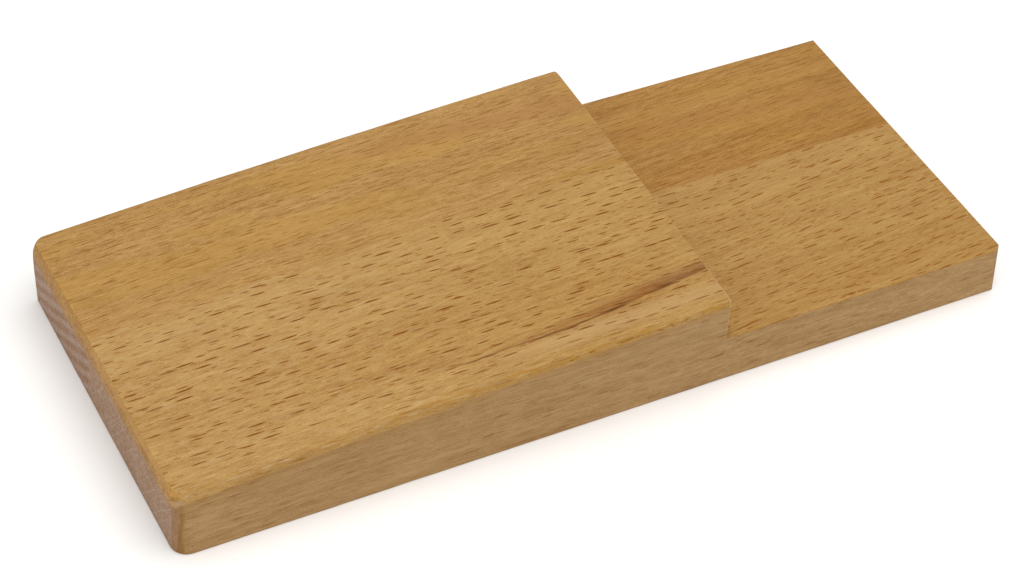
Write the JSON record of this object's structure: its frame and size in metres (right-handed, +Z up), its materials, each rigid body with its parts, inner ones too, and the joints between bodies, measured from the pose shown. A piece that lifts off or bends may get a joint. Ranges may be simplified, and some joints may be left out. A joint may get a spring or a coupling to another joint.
{
  "type": "bench pin",
  "caption": "Beech bench pin: a flat-bottomed wedge block, thin at the front, with a thinner full-width tail behind a square shoulder that slides into a slot in a bench.",
  "frame": {"origin": "centre of the footprint, on the underside", "axes": "+X from the thin front end towards the tail, +Y from the near side (the wider, flecked stave) towards the far side, +Z up"},
  "size_m": [0.17, 0.07, 0.0222],
  "materials": {
    "beech_near": "sanded bare beech with ray flecks",
    "beech_far": "sanded bare beech with fine pores",
    "wood_glue": "set wood glue in a thin joint"
  },
  "bodies": {
    "root": {"near_stave": "beech_near", "far_stave": "beech_far", "glue_line": "wood_glue"}
  },
  "joints": []
}
